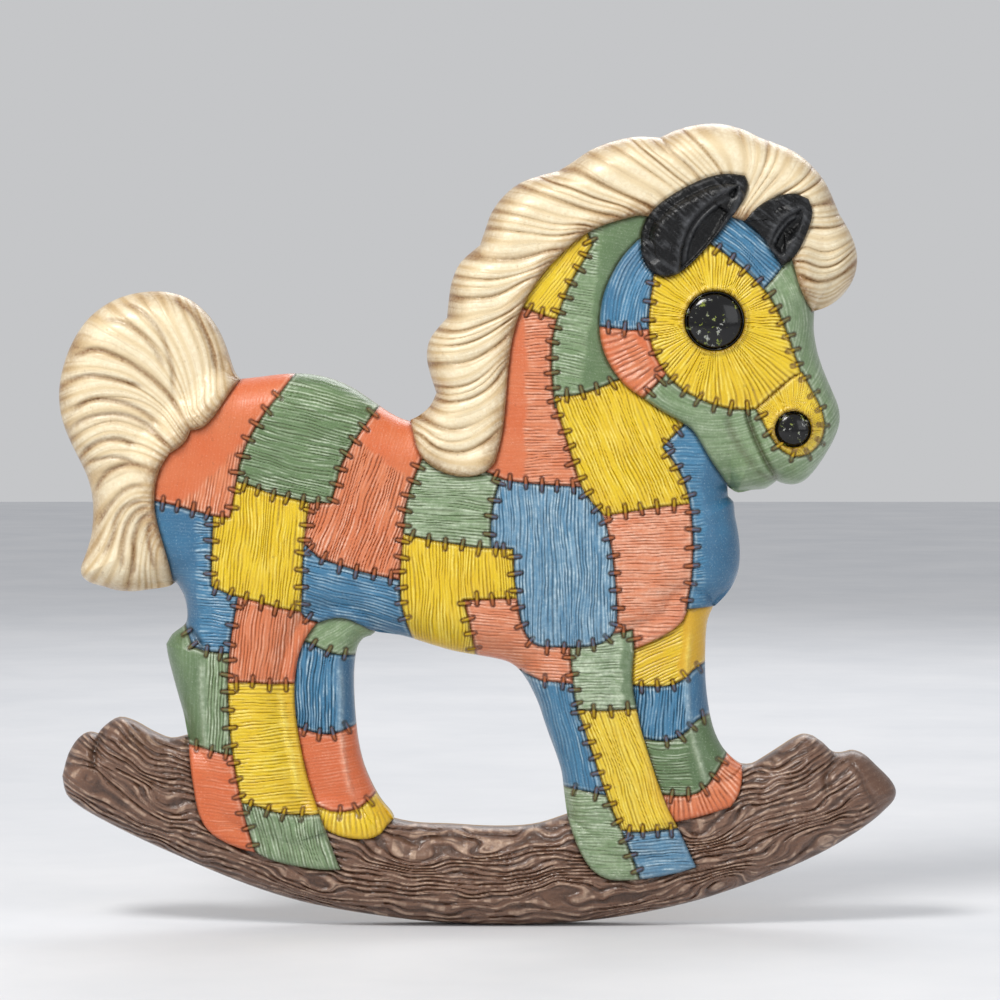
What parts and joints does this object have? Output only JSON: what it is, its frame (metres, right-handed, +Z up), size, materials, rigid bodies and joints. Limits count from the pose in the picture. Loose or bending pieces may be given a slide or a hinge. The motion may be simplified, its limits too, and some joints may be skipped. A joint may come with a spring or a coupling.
{
  "type": "rocking horse wall plaque",
  "caption": "Cast relief wall plaque of a patchwork rocking horse on a wooden rocker, flat at the back, hung by a keyhole plate.",
  "frame": {"origin": "centre of the keyhole's entry hole, on the flat back face that lies against the wall", "axes": "+Z up; +X towards the horse's nose, along the plaque's width; -Y is the way the relief faces, and +Y points into the wall"},
  "size_m": [0.42, 0.0396, 0.402],
  "materials": {
    "rust_patch": "satin hand-painted relief with brown glaze in the grooves",
    "green_patch": "satin hand-painted relief with brown glaze in the grooves",
    "blue_patch": "satin hand-painted relief with brown glaze in the grooves",
    "yellow_patch": "satin hand-painted relief with brown glaze in the grooves",
    "cream_hair": "satin cream paint with brown glaze in the hair grooves",
    "painted_wood_grain": "satin brown paint, ridges dry-brushed lighter",
    "black_ear": "satin black, grey dry-brushed ridges",
    "black_button": "polished gloss black",
    "bare_back": "unpainted tan moulding, flat and matt",
    "plated_steel": "plated sheet steel and screws"
  },
  "bodies": {
    "root": {"rocker": "painted_wood_grain", "far_hind_green": "green_patch", "far_hind_blue": "blue_patch", "far_hind_rust": "rust_patch", "far_hind_yellow": "yellow_patch", "far_fore_yellow": "yellow_patch", "far_fore_blue": "blue_patch", "far_fore_green": "green_patch", "far_fore_rust": "rust_patch", "hip_blue": "blue_patch", "back_rust": "rust_patch", "flank_blue": "blue_patch", "hind_rust": "rust_patch", "hind_green": "green_patch", "thigh_rust": "rust_patch", "hind_green_foot": "green_patch", "hind_yellow": "yellow_patch", "rump_green": "green_patch", "haunch_yellow": "yellow_patch", "rump_rust": "rust_patch", "withers_green": "green_patch", "belly_yellow": "yellow_patch", "belly_rust": "rust_patch", "neck_rust": "rust_patch", "neck_green": "green_patch", "neck_yellow_top": "yellow_patch", "chest_rust": "rust_patch", "fore_blue": "blue_patch", "fore_green": "green_patch", "fore_green_foot": "green_patch", "fore_blue_foot": "blue_patch", "fore_yellow": "yellow_patch", "shoulder_blue": "blue_patch", "neck_yellow": "yellow_patch", "chest_blue": "blue_patch", "tail": "cream_hair", "jaw_green": "green_patch", "cheek_blue": "blue_patch", "cheek_rust": "rust_patch", "forehead_blue": "blue_patch", "face_yellow": "yellow_patch", "muzzle_yellow": "yellow_patch", "mane": "cream_hair", "forelock": "cream_hair", "near_ear": "black_ear", "far_ear": "black_ear", "eye": "black_button", "nostril": "black_button", "back_plate": "bare_back", "hanger_plate": "plated_steel", "hanger_screws": "plated_steel"}
  },
  "joints": []
}
